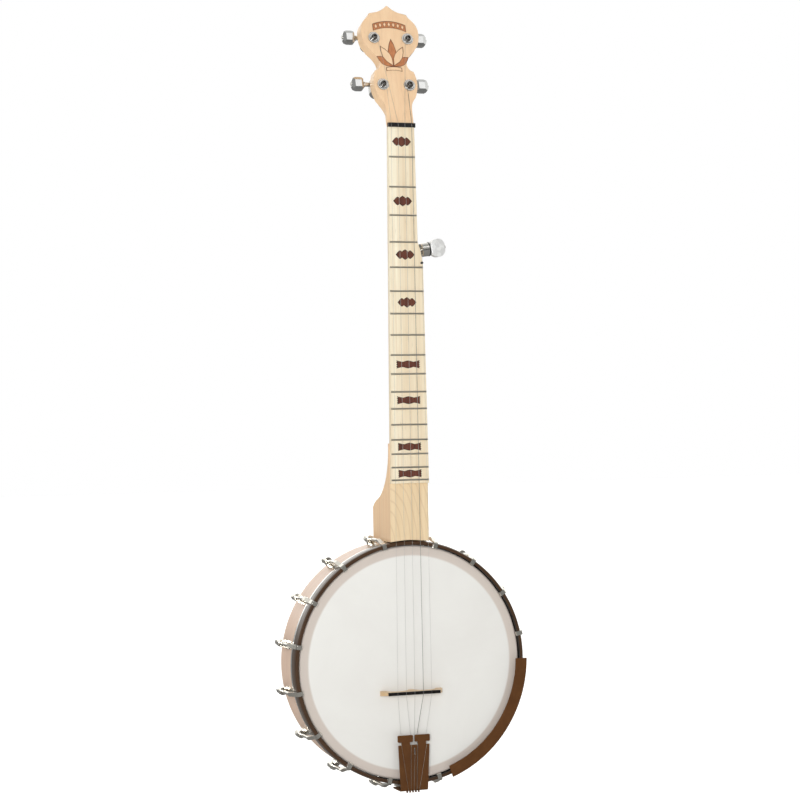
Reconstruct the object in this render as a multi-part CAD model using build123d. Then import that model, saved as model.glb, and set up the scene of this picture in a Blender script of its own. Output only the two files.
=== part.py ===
from build123d import *
from math import cos, pi, sin, sqrt
import os

# Five-string open-back banjo, left-handed.
# Frame: origin at the centre of the rim's back face, Z up the neck, -Y towards the head, X to the right
# when looking at the head. Millimetres.

# ---- pot ----
FRONT = -67.0                 # plane of the tension hoop's front edge
RIM_R = 139.7
RIM_IN = 125.5
RIM_FRONT = FRONT + 4.0       # bearing edge under the head
RIM_STEP_R = 137.2            # turned down at the front so the hoops pass
RIM_STEP_Y = FRONT + 23.0
HEAD_T = 0.25
FLESH_IN = 137.5
FLESH_OUT = 142.3
FLESH_Y0 = FRONT + 16.0
FLESH_Y1 = FRONT + 22.0
HOOP_IN = 138.3
HOOP_FRONT_OUT = 142.0
HOOP_OUT = 143.4
HOOP_DEPTH = 13.5

# ---- hooks, shoes and nuts ----
HOOKS_PER_SIDE = 8
HOOK_FIRST = 13.1             # degrees from the top, clear of the heel
HOOK_STEP = 22.0
HOOK_TURN = -0.7              # the ring of hooks is set round a little from the neck
HOOK_R = 148.0
ROD_R = 2.1
CLAW_W = 5.2
SHOE_Y0 = FRONT + 23.5
SHOE_Y1 = FRONT + 48.5
SHOE_W = 10.0
SHOE_OUT = 142.3
NUT_LEN = 12.5
BOLT_Y = FRONT + 34.0
BOLT_R = 2.0

# ---- neck ----
Z_NUT = 632.2
Y_NUT = FRONT + 0.5
NECK_TILT = -0.65
SCALE = 666.75
NUT_X = -3.1
NUT_UP, NUT_DOWN = 2.6, 2.4   # the string nut's reach above and below the scale's zero
NUT_LEFT, NUT_RIGHT = -18.9, 14.2
BOARD_T = 4.5
BOARD_END = 421.0
LEFT_AT_NUT = -19.3
EDGE_SLOPE = 0.0104
RIGHT_AT_NUT = 13.1
RIGHT_SLOPE = 0.013
STEP_S0 = 137.5
STEP_S1 = 166.0
SIDE_D = 4.8
SHAFT_CURVE = 1.25            # above 1 the back of the neck falls away faster than an ellipse
FRETS = 17

# ---- peghead ----
PEG_TILT = -16.5
PEG_X = -3.5
PEG_T = 14.5
POST_TOP = (21.2, 111.2)
POST_LOW = (16.6, 51.2)
POST_R = 3.0
SHAFT_UP = 9.0                # the worm shaft passes the post on the tip side
SHAFT_Y = PEG_T + 6.2
GEAR_TEETH = 14

# ---- strings ----
STRING_D = (0.26, 0.30, 0.34, 0.56, 0.26)
NUT_PITCH = 8.5
BRIDGE_PITCH = 10.6
BRIDGE_Z = -34.5
BRIDGE_TOP = FRONT - 10.3
HEAD_FACE = RIM_FRONT - HEAD_T
TAIL_Y = FRONT - 4.4          # front face of the tailpiece
TAIL_T = 1.8
PIP_S = 162.0
PIP_X = 19.3

# ---- fifth peg ----
FIFTH_S = 146.9
FIFTH_Y = FRONT + 8.0
FIFTH_X0 = 21.7
FIFTH_X1 = 32.2
FIFTH_BASE = 17.9             # where the tilted peg's axis meets the neck's side
FIFTH_TILT = 8.0

os.makedirs("parts", exist_ok=True)


def save(name, *solids):
    """Write one node; each argument stays a separate solid."""
    flat = []
    for item in solids:
        flat.extend(item.solids())
    shape = flat[0] if len(flat) == 1 else Compound(children=flat)
    export_step(shape, f"parts/{name}.step")


def ring(*points):
    """Solid of revolution about the pot's axis from (radius, y) points."""
    return revolve(make_face(Polyline(*points, close=True)), Axis.Y)


def plate_yz(points, width):
    """Side profile given as (z, y) points, extruded equally to both sides in X."""
    face = make_face(Polyline(*[(0, y, z) for z, y in points], close=True))
    return extrude(face, width / 2, dir=(1, 0, 0), both=True)


def along_y(radius, y0, y1, x=0.0, z=0.0):
    return Pos(x, (y0 + y1) / 2, z) * Rot(90, 0, 0) * Cylinder(radius, abs(y1 - y0))


def along_x(radius, x0, x1, y=0.0, z=0.0):
    return Pos((x0 + x1) / 2, y, z) * Rot(0, 90, 0) * Cylinder(radius, abs(x1 - x0))


def along_z(radius, z0, z1, x=0.0, y=0.0):
    return Pos(x, y, (z0 + z1) / 2) * Cylinder(radius, abs(z1 - z0))


def hexagon(flats, height):
    """Hexagonal prism standing on the XY plane."""
    return extrude(RegularPolygon(flats / sqrt(3), 6), height)


def box(x0, x1, y0, y1, z0, z1):
    return Pos((x0 + x1) / 2, (y0 + y1) / 2, (z0 + z1) / 2) * Box(x1 - x0, y1 - y0, z1 - z0)


def turned(angle, part):
    """Turn about the pot's axis, clockwise from the top as seen from the front."""
    return Rot(0, angle, 0) * part


def hook_angles():
    """Angles of the sixteen hooks; the pair beside the heel keeps clear of it."""
    angles = []
    for side in (-1, 1):
        for k in range(HOOKS_PER_SIDE):
            angles.append(side * (HOOK_FIRST + HOOK_STEP * k) + (HOOK_TURN if k else 0.0))
    return angles


ANGLES = hook_angles()

# =========================== pot ===========================
rim = ring(
    (RIM_IN + 1.0, 0), (RIM_R, 0), (RIM_R, RIM_STEP_Y), (RIM_STEP_R, RIM_STEP_Y),
    (RIM_STEP_R, RIM_FRONT + 1.0), (RIM_STEP_R - 1.2, RIM_FRONT), (RIM_STEP_R - 4.5, RIM_FRONT),
    (RIM_STEP_R - 7.0, RIM_FRONT + 2.0), (RIM_IN, RIM_FRONT + 5.0), (RIM_IN, -1.0),
)
for a in ANGLES:
    rim -= turned(a, Pos(0, BOLT_Y, 132) * Cylinder(BOLT_R + 0.2, 24))
HEEL_BOLTS = (FRONT + 30.0, FRONT + 52.0)
for y in HEEL_BOLTS:
    rim -= along_z(3.2, 118, 142, y=y)
ROD_Y = HEEL_BOLTS[1]
rim -= along_z(3.2, -142, -118, y=ROD_Y)
save("rim", rim)

# the membrane and its turned-back collar meet just inside the bearing edge
HEAD_EDGE = RIM_STEP_R - 1.2
save("head", ring((0, HEAD_FACE), (HEAD_EDGE, HEAD_FACE), (HEAD_EDGE, RIM_FRONT), (0, RIM_FRONT)))
save("head_collar", ring(
    (HEAD_EDGE, HEAD_FACE), (RIM_STEP_R + HEAD_T, HEAD_FACE + 1.2), (RIM_STEP_R + HEAD_T, FLESH_Y1 - 0.6),
    (RIM_STEP_R, FLESH_Y1 - 0.6), (RIM_STEP_R, RIM_FRONT + 1.0), (HEAD_EDGE, RIM_FRONT),
))

save("flesh_hoop", ring(
    (FLESH_IN, FLESH_Y0), (FLESH_OUT - 1.4, FLESH_Y0), (FLESH_OUT, FLESH_Y0 + 1.4),
    (FLESH_OUT, FLESH_Y1 - 1.4), (FLESH_OUT - 1.4, FLESH_Y1), (FLESH_IN, FLESH_Y1),
))

save("tension_hoop", ring(
    (HOOP_IN, FRONT + 0.5), (HOOP_IN + 0.5, FRONT), (HOOP_FRONT_OUT, FRONT),
    (HOOP_FRONT_OUT + 0.8, FRONT + 1.2), (HOOP_OUT, FRONT + 5.0), (HOOP_OUT, FRONT + HOOP_DEPTH - 0.6),
    (HOOP_OUT - 0.6, FRONT + HOOP_DEPTH), (HOOP_IN + 1.9, FRONT + HOOP_DEPTH),
    (HOOP_IN + 1.9, FLESH_Y0), (HOOP_IN, FLESH_Y0),
))

# ---- one hook at the top: strap over the hoop's edge, sloping out into a round rod ----
claw_points = [
    (136.7, FRONT + 2.3), (136.4, FRONT + 1.6), (136.4, FRONT - 0.9), (137.3, FRONT - 1.8),
    (143.2, FRONT - 1.8), (144.6, FRONT - 0.6), (145.5, FRONT + 5.5), (149.3, FRONT + 13.5),
    (HOOK_R + ROD_R, FRONT + 17.0), (HOOK_R + ROD_R, FRONT + 21.0), (HOOK_R - ROD_R, FRONT + 21.0),
    (HOOK_R - ROD_R, FRONT + 17.5), (144.9, FRONT + 13.5), (143.7, FRONT + 6.5), (143.7, FRONT + 4.8),
    (143.1, FRONT + 1.0), (142.2, FRONT), (138.0, FRONT), (138.0, FRONT + 2.3),
]
hook = plate_yz(claw_points, CLAW_W)
half = CLAW_W / 2
side_points = [(half, FRONT + 5), (half + 3, FRONT + 5), (half + 3, FRONT + 22)]
side_points += [(ROD_R, FRONT + 22), (ROD_R, FRONT + 17)]
side_cut = extrude(make_face(Polyline(*side_points, close=True)), 160, dir=(0, 0, 1))
hook -= side_cut
hook -= mirror(side_cut, Plane.YZ)
hook += along_y(ROD_R, FRONT + 18.0, FRONT + 59.0, z=HOOK_R)
# round the strap's end down to the rod
round_off = along_y(ROD_R + 4, FRONT + 18.0, FRONT + 22.0, z=HOOK_R)
round_off -= along_y(ROD_R, FRONT + 17.0, FRONT + 23.0, z=HOOK_R)
hook -= round_off
save("hooks", *[turned(a, hook) for a in ANGLES])

# ---- one shoe at the top ----
shoe_foot = extrude(SlotOverall(SHOE_Y1 - SHOE_Y0, SHOE_W), SHOE_OUT)
shoe = Pos(0, (SHOE_Y0 + SHOE_Y1) / 2, 0) * Rot(0, 0, 90) * shoe_foot
shoe += box(-4.5, 4.5, SHOE_Y1 - 5.0, SHOE_Y1, 130, HOOK_R)
shoe += along_y(4.5, SHOE_Y1 - 5.0, SHOE_Y1, z=HOOK_R)
shoe += plate_yz([(130, SHOE_Y0 + 9), (SHOE_OUT, SHOE_Y0 + 9), (145.3, SHOE_Y1 - 5), (130, SHOE_Y1 - 5)], 4.6)
shoe -= along_y(RIM_R, SHOE_Y0 - 5, SHOE_Y1 + 5)
shoe -= along_y(ROD_R + 0.15, SHOE_Y1 - 8, SHOE_Y1 + 1, z=HOOK_R)
shoe -= Pos(0, BOLT_Y, 139) * Cylinder(BOLT_R + 0.1, 5.6)
save("bracket_shoes", *[turned(a, shoe) for a in ANGLES])

# ---- one hook nut at the top: flange, hexagon and closed dome ----
nut = along_y(4.5, SHOE_Y1, SHOE_Y1 + 1.5, z=HOOK_R)
nut += Pos(0, SHOE_Y1 + 1.5, HOOK_R) * Rot(-90, 0, 0) * hexagon(7.0, NUT_LEN - 3.5)
nut += along_y(3.1, SHOE_Y1 + NUT_LEN - 2.0, SHOE_Y1 + NUT_LEN, z=HOOK_R)
nut -= along_y(ROD_R + 0.05, SHOE_Y1 - 1, FRONT + 59.3, z=HOOK_R)
save("hook_nuts", *[turned(a, nut) for a in ANGLES])

# ---- one shoe bolt and washer at the top, from inside the rim ----
washer = Pos(0, BOLT_Y, 124.0) * (extrude(Circle(4.6) - Circle(BOLT_R + 0.1), 1.2))
bolt = Pos(0, BOLT_Y, 124.0) * extrude(Circle(BOLT_R), 17.5)
bolt += Pos(0, BOLT_Y, 121.0) * hexagon(7.0, 3.0)
save("shoe_washers", *[turned(a, washer) for a in ANGLES])
save("shoe_bolts", *[turned(a, bolt) for a in ANGLES])

# ---- heel bolts, coordinator rod and its ends ----
heel_bolts = [along_z(3.0, 117.0, 165.0, y=HEEL_BOLTS[0]), along_z(3.0, 118.0, 165.0, y=HEEL_BOLTS[1])]
save("neck_bolts", *heel_bolts)
heel_washers = []
for y in HEEL_BOLTS:
    heel_washers.append(Pos(0, y, 123.4) * extrude(Circle(8.5) - Circle(3.1), 1.5))
heel_nut = Pos(0, HEEL_BOLTS[0], 118.4) * hexagon(10.0, 5.0)
heel_nut -= along_z(3.05, 118, 124, y=HEEL_BOLTS[0])
save("neck_bolt_nuts", *heel_washers, heel_nut)
coupler = along_z(4.0, -112.0, 110.0, y=ROD_Y)
coupler += along_z(6.0, 108.0, 123.2, y=ROD_Y)
coupler -= along_z(3.05, 117.5, 124.0, y=ROD_Y)
coupler -= along_z(2.5, -113.0, -100.0, y=ROD_Y)
save("coordinator_rod", coupler)
end_bolt = along_z(2.45, -154.0, -103.0, y=ROD_Y)
inner_washer = Pos(0, ROD_Y, -125.0) * extrude(Circle(8.5) - Circle(2.6), 1.5)
inner_nut = Pos(0, ROD_Y, -123.4) * hexagon(9.0, 4.5)
inner_nut -= along_z(2.5, -124, -118, y=ROD_Y)
spacer = along_z(5.0, -146.6, -139.8, y=ROD_Y) - along_z(2.5, -147, -139, y=ROD_Y)
outer_nut = Pos(0, ROD_Y, -152.7) * hexagon(9.0, 4.5)
outer_nut -= along_z(2.5, -153, -148, y=ROD_Y)
save("rod_hardware", end_bolt, inner_washer, inner_nut, spacer, outer_nut)

# =========================== neck ===========================
# neck frame: X right, Y depth behind the board's face, Z up, so a place s below the nut has z = -s
NECK = Pos(0, Y_NUT, Z_NUT) * Rot(NECK_TILT, 0, 0)
PEG = Pos(PEG_X, Y_NUT, Z_NUT) * Rot(PEG_TILT, 0, 0)


def at(frame, x, y, z):
    return (frame * Pos(x, y, z)).position


def left_edge(s):
    return LEFT_AT_NUT - EDGE_SLOPE * s


def right_edge(s):
    """Right edge of the board: narrow above the fifth-string step, full width below it."""
    narrow = RIGHT_AT_NUT + RIGHT_SLOPE * s
    if s <= STEP_S0:
        return narrow
    if s >= STEP_S1:
        return -left_edge(s)
    t = (s - STEP_S0) / (STEP_S1 - STEP_S0)
    ease = 1.0 - (1.0 - t) ** 1.7
    return narrow + (-left_edge(s) - narrow) * ease


def shaft_section(s, belly, square=SHAFT_CURVE):
    """Flat-topped cross-section with a rounded back, belly deep measured from the board's face."""
    x0, x1 = left_edge(s), right_edge(s)
    mid, half = (x0 + x1) / 2, (x1 - x0) / 2
    curve = []
    for i in range(1, 12):
        t = pi * i / 12
        c = cos(t)
        c = (abs(c) ** square) * (1 if c >= 0 else -1)
        curve.append((mid + half * c, SIDE_D + (belly - SIDE_D) * sin(t) ** square, -s))
    right = Line((x1, BOARD_T, -s), (x1, SIDE_D, -s))
    left = Line((x0, SIDE_D, -s), (x0, BOARD_T, -s))
    back = Spline((x1, SIDE_D, -s), *curve, (x0, SIDE_D, -s))
    return make_face([Line((x0, BOARD_T, -s), (x1, BOARD_T, -s)), right, back, left])


# places along the shaft and how deep its back is there
SHAFT = [(-9, 17.0), (12, 18.5)]
SHAFT += [(STEP_S0 + (STEP_S1 - STEP_S0) * k / 4, 20.5) for k in range(5)]
SHAFT.append((424, 23.3))     # the shaft's end is buried in the heel
neck = loft([shaft_section(*SHAFT[0]), shaft_section(*SHAFT[1])], ruled=True)
for upper, lower in zip(SHAFT[1:], SHAFT[2:]):
    neck += loft([shaft_section(*upper), shaft_section(*lower)], ruled=True)

# heel: side profile with a cove, trimmed to a rounded plan
HEEL_HALF = 23.9
HEEL_D = 70.0
# heel's back edge: depth, and distance below the nut
COVE = ((8.5, 374), (8.9, 388), (12.5, 403), (20.5, 419), (31.0, 430), (42.0, 437.5), (56.0, 443), (65.5, 450))
COVE += ((HEEL_D, 462),)
cove = Spline(*[(0, depth, -s) for depth, s in COVE])
block_points = [(HEEL_D, 462), (HEEL_D, 500), (BOARD_T, 500), (BOARD_T, 374), COVE[0]]
heel_block = Polyline(*[(0, depth, -s) for depth, s in block_points])
profile = make_face([cove, *heel_block.edges()])
heel = extrude(profile, HEEL_HALF, dir=(1, 0, 0), both=True)
plan = Pos(0, (HEEL_D - 20) / 2, -370) * RectangleRounded(2 * HEEL_HALF, HEEL_D + 20, 5.0)
heel = heel & extrude(plan, 140, dir=(0, 0, -1))
neck += heel

# peghead outline: curves between cusps, half width and height above the nut
CURVES = (
    ((0, 154.4), (5.2, 150.0), (12.5, 145.9), (19.0, 144.3), (23.7, 143.2)),
    ((23.7, 143.2), (25.6, 139.4), (29.0, 136.0), (33.2, 131.0), (35.8, 124.5), (36.4, 117.5),
     (35.4, 109.5), (32.8, 102.6), (29.9, 98.8), (28.0, 95.7)),
    ((28.0, 95.7), (24.4, 92.3), (20.0, 87.0), (17.4, 81.5), (17.0, 76.5), (19.0, 72.3), (24.2, 69.2)),
    ((24.2, 69.2), (26.2, 63.0), (27.2, 56.5), (27.0, 49.5), (25.4, 42.5), (22.8, 35.5)),
    ((22.8, 35.5), (19.6, 31.2), (17.4, 26.5), (16.6, 20.5), (16.4, 10.0), (16.2, 0.0)),
)
edges = []
for side in (-1, 1):
    for curve in CURVES:
        edges.append(Spline(*[(side * x, 0, z) for x, z in curve]))
edges.append(Line((-16.2, 0, 0), (16.2, 0, 0)))
peghead = extrude(make_face(edges), PEG_T, dir=(0, 1, 0))
POSTS = [(-POST_LOW[0], POST_LOW[1]), (-POST_TOP[0], POST_TOP[1]), POST_TOP, POST_LOW]
for x, z in POSTS:
    peghead -= along_y(4.9, -1, PEG_T + 1, x=x, z=z)


def corner(z, x_in, y_in):
    """Triangle outside a line across the slab's right back corner."""
    return make_face(Polyline((18.5, y_in, z), (18.5, PEG_T + 2, z), (x_in, PEG_T + 2, z), close=True))


# above the nut the slab's back corners are carved away, fading out towards the wide part
carved = loft([corner(-12, 5.0, 2.5), corner(14, 5.0, 2.5)], ruled=True)
carved += loft([corner(14, 5.0, 2.5), corner(31, 17.5, PEG_T + 1)], ruled=True)
peghead -= carved
peghead -= mirror(carved, Plane.YZ)
peghead = PEG * peghead
neck = NECK * neck
neck += peghead
neck -= NECK * box(-60, 60, -40, BOARD_T, -600, NUT_UP)
neck -= along_y(RIM_R, -90, 20)
neck -= along_y(144.5, -90, FRONT + 24.5)
for y in HEEL_BOLTS:
    neck -= along_z(3.05, 130, 165.2, y=y)
FIFTH_Z = Z_NUT - FIFTH_S
FIFTH = Pos(FIFTH_BASE, FIFTH_Y, FIFTH_Z) * Rot(0, -FIFTH_TILT, 0) * Pos(-FIFTH_BASE, 0, 0)
pocket = FIFTH * along_x(4.3, FIFTH_BASE, 45)
spindle_hole = FIFTH * along_x(1.55, 5.0, 30)
neck -= pocket
neck -= spindle_hole
save("neck", neck)

outline = [(left_edge(s), 0, -s) for s in (NUT_DOWN, BOARD_END)]
step_places = (STEP_S1, 161, 156, 151, 146, 141.5, 139, STEP_S0)
outline.extend((right_edge(s), 0, -s) for s in (BOARD_END, *step_places, NUT_DOWN))
board = NECK * extrude(make_face(Polyline(*outline, close=True)), BOARD_T, dir=(0, 1, 0))
board -= pocket
save("fingerboard", board)

FRET_HALF, FRET_TALL = 1.05, 1.0
crown_arc = ThreePointArc((0, 0, -FRET_HALF), (0, -FRET_TALL, 0), (0, 0, FRET_HALF))
crown = make_face([crown_arc, Line((0, 0, FRET_HALF), (0, 0, -FRET_HALF))])
frets = []
for n in range(1, FRETS + 1):
    s = SCALE * (1 - 2 ** (-n / 12))
    x0, x1 = left_edge(s) + 0.5, right_edge(s) - 0.5
    frets.append(NECK * Pos(x0, 0, -s) * extrude(crown, x1 - x0, dir=(1, 0, 0)))
save("frets", *frets)

NUT_TOP = -1.5
SLOT_D = 0.5
string_nut = box(NUT_LEFT, NUT_RIGHT, NUT_TOP, BOARD_T, -NUT_DOWN, NUT_UP)
slots_x = [NUT_X + NUT_PITCH * (i - 1.5) for i in range(4)]
for x, d in zip(slots_x, STRING_D):
    slot_half = d / 2 + 0.05
    string_nut -= box(x - slot_half, x + slot_half, NUT_TOP - 1, NUT_TOP + SLOT_D, -4, 4)
save("nut", NECK * string_nut)

pip = along_y(1.4, -2.2, 0, x=PIP_X, z=-PIP_S)
pip -= box(PIP_X - 0.2, PIP_X + 0.2, -3, -1.4, -PIP_S - 3, -PIP_S + 3)
save("fifth_string_nut", NECK * pip)

# =========================== tuning machines ===========================
def placed(index, part):
    """Put a right-hand machine, built about its post, at one of the four places."""
    x, z = POSTS[index]
    if x < 0:
        part = mirror(part, Plane.YZ)
    return PEG * Pos(x, 0, z) * part


bushing = along_y(7.0, -1.6, 0) + along_y(5.6, -2.6, -1.6) + along_y(4.85, 0, 9.0)
bushing = chamfer(bushing.edges().filter_by(GeomType.CIRCLE).group_by(Axis.Y)[0], 0.6)
bushing -= along_y(POST_R + 0.05, -4, 12)

HOUSE_X0, HOUSE_X1 = -8.0, 9.0
HOUSE_Z0, HOUSE_Z1 = -7.5, 15.0
HOUSE_Y1 = PEG_T + 9.6
HOUSE_MID = ((HOUSE_X0 + HOUSE_X1) / 2, (HOUSE_Z0 + HOUSE_Z1) / 2)
GEAR_ROOM = 6.4
plan = Rectangle(HOUSE_X1 - HOUSE_X0, HOUSE_Z1 - HOUSE_Z0)
plan = fillet(plan.vertices().group_by(Axis.Y)[0], 6.5)
plan = fillet(plan.vertices().group_by(Axis.Y)[-1], 2.2)
plan = Rot(90, 0, 0) * plan
housing = Pos(HOUSE_MID[0], PEG_T, HOUSE_MID[1]) * extrude(plan, HOUSE_Y1 - PEG_T, dir=(0, 1, 0))
housing -= along_y(GEAR_ROOM, PEG_T + 1.6, HOUSE_Y1 + 1)
housing -= box(-GEAR_ROOM, HOUSE_X1 - 1.5, PEG_T + 1.6, HOUSE_Y1 + 1, 3.0, HOUSE_Z1 - 2.6)
housing -= along_y(POST_R + 0.05, PEG_T - 1, PEG_T + 2)
housing -= along_x(2.15, HOUSE_X0 + 0.7, HOUSE_X1 + 1, SHAFT_Y, SHAFT_UP)
cover = Pos(HOUSE_MID[0], HOUSE_Y1, HOUSE_MID[1]) * extrude(plan, 1.6, dir=(0, 1, 0))
cover = chamfer(cover.faces().sort_by(Axis.Y)[-1].edges(), 0.5)
screws = []
for x in (-5.0, 6.0):
    place = {"x": x, "z": HOUSE_Z1 - 1.3}
    hole = along_y(0.75, HOUSE_Y1 - 4.0, HOUSE_Y1 + 3, **place)
    housing -= hole
    cover -= hole
    screw = along_y(0.7, HOUSE_Y1 - 3.5, HOUSE_Y1 + 1.6, **place)
    screw += along_y(1.2, HOUSE_Y1 + 1.6, HOUSE_Y1 + 2.3, **place)
    screws.append(screw)

POST_TOP_Y = -6.4
post = along_y(POST_R, POST_TOP_Y, PEG_T + 7.9)
post = chamfer(post.edges().filter_by(GeomType.CIRCLE).group_by(Axis.Y)[0], 0.6)
gear = along_y(6.0, PEG_T + 4.2, PEG_T + 8.2)
for k in range(GEAR_TEETH):
    t = 2 * pi * k / GEAR_TEETH
    gear -= along_y(0.75, PEG_T + 3, PEG_T + 9, x=6.1 * sin(t), z=6.1 * cos(t))
post += gear
post -= along_y(1.7, POST_TOP_Y - 1, POST_TOP_Y + 3.5)
post -= along_x(0.7, -5, 5, POST_TOP_Y + 2.4, 0)

SHAFT_END = 27.0
shaft = along_x(2.1, HOUSE_X0 + 1.0, SHAFT_END, SHAFT_Y, SHAFT_UP)
shaft += along_x(2.7, HOUSE_X1 + 0.3, 17.0, SHAFT_Y, SHAFT_UP)
shaft += along_x(3.4, 14.9, 16.7, SHAFT_Y, SHAFT_UP)
for k in range(5):
    shaft += along_x(2.45, -4.6 + 2.0 * k, -3.6 + 2.0 * k, SHAFT_Y, SHAFT_UP)
BUTTON_X0, BUTTON_X1 = 17.0, 31.5
cross_points = [(0, 0, 8.75), (0, 2.4, 8.2), (0, 4.2, 4.4), (0, 4.2, -4.4), (0, 2.4, -8.2)]
cross_points += [(0, -y, -z) for x, y, z in cross_points]
cross = make_face(Polyline(*cross_points, close=True))
button = Pos(BUTTON_X0, 0, 0) * extrude(cross, BUTTON_X1 - BUTTON_X0, dir=(1, 0, 0))
side_half = [(BUTTON_X0, 5.6), (BUTTON_X0 + 1.6, 7.6), (BUTTON_X0 + 5.0, 8.75), (BUTTON_X0 + 9.5, 8.4),
             (BUTTON_X0 + 13.0, 6.4), (BUTTON_X1, 3.6)]
side_view = [(x, 0, z) for x, z in side_half] + [(x, 0, -z) for x, z in reversed(side_half)]
button = button & extrude(make_face(Polyline(*side_view, close=True)), 6, dir=(0, 1, 0), both=True)
top_half = [(BUTTON_X0, 3.1), (BUTTON_X0 + 2.5, 4.2), (BUTTON_X0 + 10.5, 4.2), (BUTTON_X1, 2.6)]
top_view = [(x, y, 0) for x, y in top_half] + [(x, -y, 0) for x, y in reversed(top_half)]
button = button & extrude(make_face(Polyline(*top_view, close=True)), 12, dir=(0, 0, 1), both=True)
button = Pos(0, SHAFT_Y, SHAFT_UP) * button
button -= along_x(2.1, BUTTON_X0 - 1, SHAFT_END, SHAFT_Y, SHAFT_UP)
button -= along_x(1.0, SHAFT_END - 1, BUTTON_X1 + 1, SHAFT_Y, SHAFT_UP)
button_screw = along_x(0.95, SHAFT_END, BUTTON_X1, SHAFT_Y, SHAFT_UP)
button_screw += along_x(1.9, BUTTON_X1, BUTTON_X1 + 0.8, SHAFT_Y, SHAFT_UP)
driver_slot = box(BUTTON_X1 + 0.3, BUTTON_X1 + 1.5, -0.25, 0.25, -3, 3)
button_screw -= Pos(0, SHAFT_Y, SHAFT_UP) * driver_slot

save("tuner_bushings", *[placed(i, bushing) for i in range(4)])
save("tuner_housings", *[placed(i, housing) for i in range(4)])
save("tuner_covers", *[placed(i, cover) for i in range(4)])
save("tuner_screws", *[placed(i, screw) for i in range(4) for screw in screws])
for i in range(4):
    save(f"tuner_post_{i + 1}", placed(i, post))
    save(f"tuner_shaft_{i + 1}", placed(i, shaft))
    save(f"tuner_button_{i + 1}", placed(i, button))
    save(f"tuner_button_screw_{i + 1}", placed(i, button_screw))

# =========================== fifth-string peg ===========================
# built about the X axis, then tilted into place
F5_POST_R = 3.0
COLLAR_W = 1.3
barrel = along_x(8.25, FIFTH_X0, FIFTH_X1 - COLLAR_W)
barrel = chamfer(barrel.edges().filter_by(GeomType.CIRCLE).sort_by(Axis.X)[0], 0.8)
barrel += along_x(1.5, 5.5, FIFTH_X0 + 1)
barrel -= along_x(2.05, FIFTH_X0 + 3.0, FIFTH_X1)
save("fifth_peg_housing", FIFTH * barrel)
collar = along_x(8.45, FIFTH_X1 - COLLAR_W, FIFTH_X1)
collar -= along_x(2.4, FIFTH_X1 - 3, FIFTH_X1 + 1)
save("fifth_peg_collar", FIFTH * collar)
fifth_post = along_x(F5_POST_R, 18.3, FIFTH_X0 - 0.3)
fifth_post -= along_x(1.55, 17, 23)
save("fifth_peg_post", FIFTH * fifth_post)
KNOB_X0, KNOB_X1 = 34.2, 52.0
save("fifth_peg_shaft", FIFTH * along_x(2.0, FIFTH_X0 + 3.4, KNOB_X1 - 3.0))


def oval(points, plane_point):
    """Face between a curve and its mirror image, closed by straight ends, from (along, half width) points."""
    near, far = points[0], points[-1]
    upper = Spline(*[plane_point(x, w) for x, w in points])
    lower = Spline(*[plane_point(x, -w) for x, w in points])
    ends = [Line(plane_point(x, -w), plane_point(x, w)) for x, w in (near, far)]
    return make_face([upper, lower, *ends])


knob_half = [(KNOB_X0, 4.6), (KNOB_X0 + 1.2, 7.8), (KNOB_X0 + 4.5, 10.1), (KNOB_X0 + 8.7, 10.8),
             (KNOB_X0 + 12.8, 9.8), (KNOB_X0 + 16.0, 7.2), (KNOB_X1, 3.5)]
knob = extrude(oval(knob_half, lambda x, w: (x, 0, w)), 6, dir=(0, 1, 0), both=True)
thin = [(KNOB_X0, 3.4), (KNOB_X0 + 3, 4.4), (KNOB_X0 + 8.5, 4.9), (KNOB_X1 - 2.5, 4.0), (KNOB_X1, 2.8)]
knob = knob & extrude(oval(thin, lambda x, w: (x, w, 0)), 14, dir=(0, 0, 1), both=True)
knob -= along_x(2.0, KNOB_X0 - 1, KNOB_X1 - 3.0)
knob -= along_x(1.0, KNOB_X1 - 4, KNOB_X1 + 1)
save("fifth_peg_knob", FIFTH * knob)
fifth_screw = along_x(0.95, KNOB_X1 - 3.0, KNOB_X1)
fifth_screw += along_x(2.2, KNOB_X1, KNOB_X1 + 1.0)
fifth_screw -= box(KNOB_X1 + 0.4, KNOB_X1 + 2, -0.3, 0.3, -3, 3)
save("fifth_peg_screw", FIFTH * fifth_screw)

# =========================== bridge ===========================
CAP_Y = BRIDGE_TOP + 2.6
CAP_HALF = 1.8                # half thickness of the cap along the strings
FOOT_HALF = 2.8
bridge_outline = [(-38.5, HEAD_FACE), (-38.0, HEAD_FACE - 4.5), (-33.0, CAP_Y)]
bridge_outline += [(-x, y) for x, y in reversed(bridge_outline)]
base_face = make_face(Polyline(*[(x, y, 0) for x, y in bridge_outline], close=True))
base = extrude(base_face, FOOT_HALF, dir=(0, 0, 1), both=True)
for x in (-17.5, 17.5):
    base -= Pos(x, HEAD_FACE, 0) * extrude(Ellipse(13.5, 6.4), FOOT_HALF + 1, both=True)
wedge = plate_yz([(-FOOT_HALF, HEAD_FACE), (-CAP_HALF, CAP_Y), (CAP_HALF, CAP_Y), (FOOT_HALF, HEAD_FACE)], 90)
base = Pos(0, 0, BRIDGE_Z) * (base & wedge)
save("bridge_base", base)
cap = box(-32.2, 32.2, BRIDGE_TOP, CAP_Y, BRIDGE_Z - CAP_HALF, BRIDGE_Z + CAP_HALF)
bridge_x = [BRIDGE_PITCH * (i - 2) for i in range(5)]
for x, d in zip(bridge_x, STRING_D):
    slot_half = d / 2 + 0.05
    cap -= box(x - slot_half, x + slot_half, BRIDGE_TOP - 1, BRIDGE_TOP + SLOT_D, BRIDGE_Z - 3, BRIDGE_Z + 3)
save("bridge_cap", cap)

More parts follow.
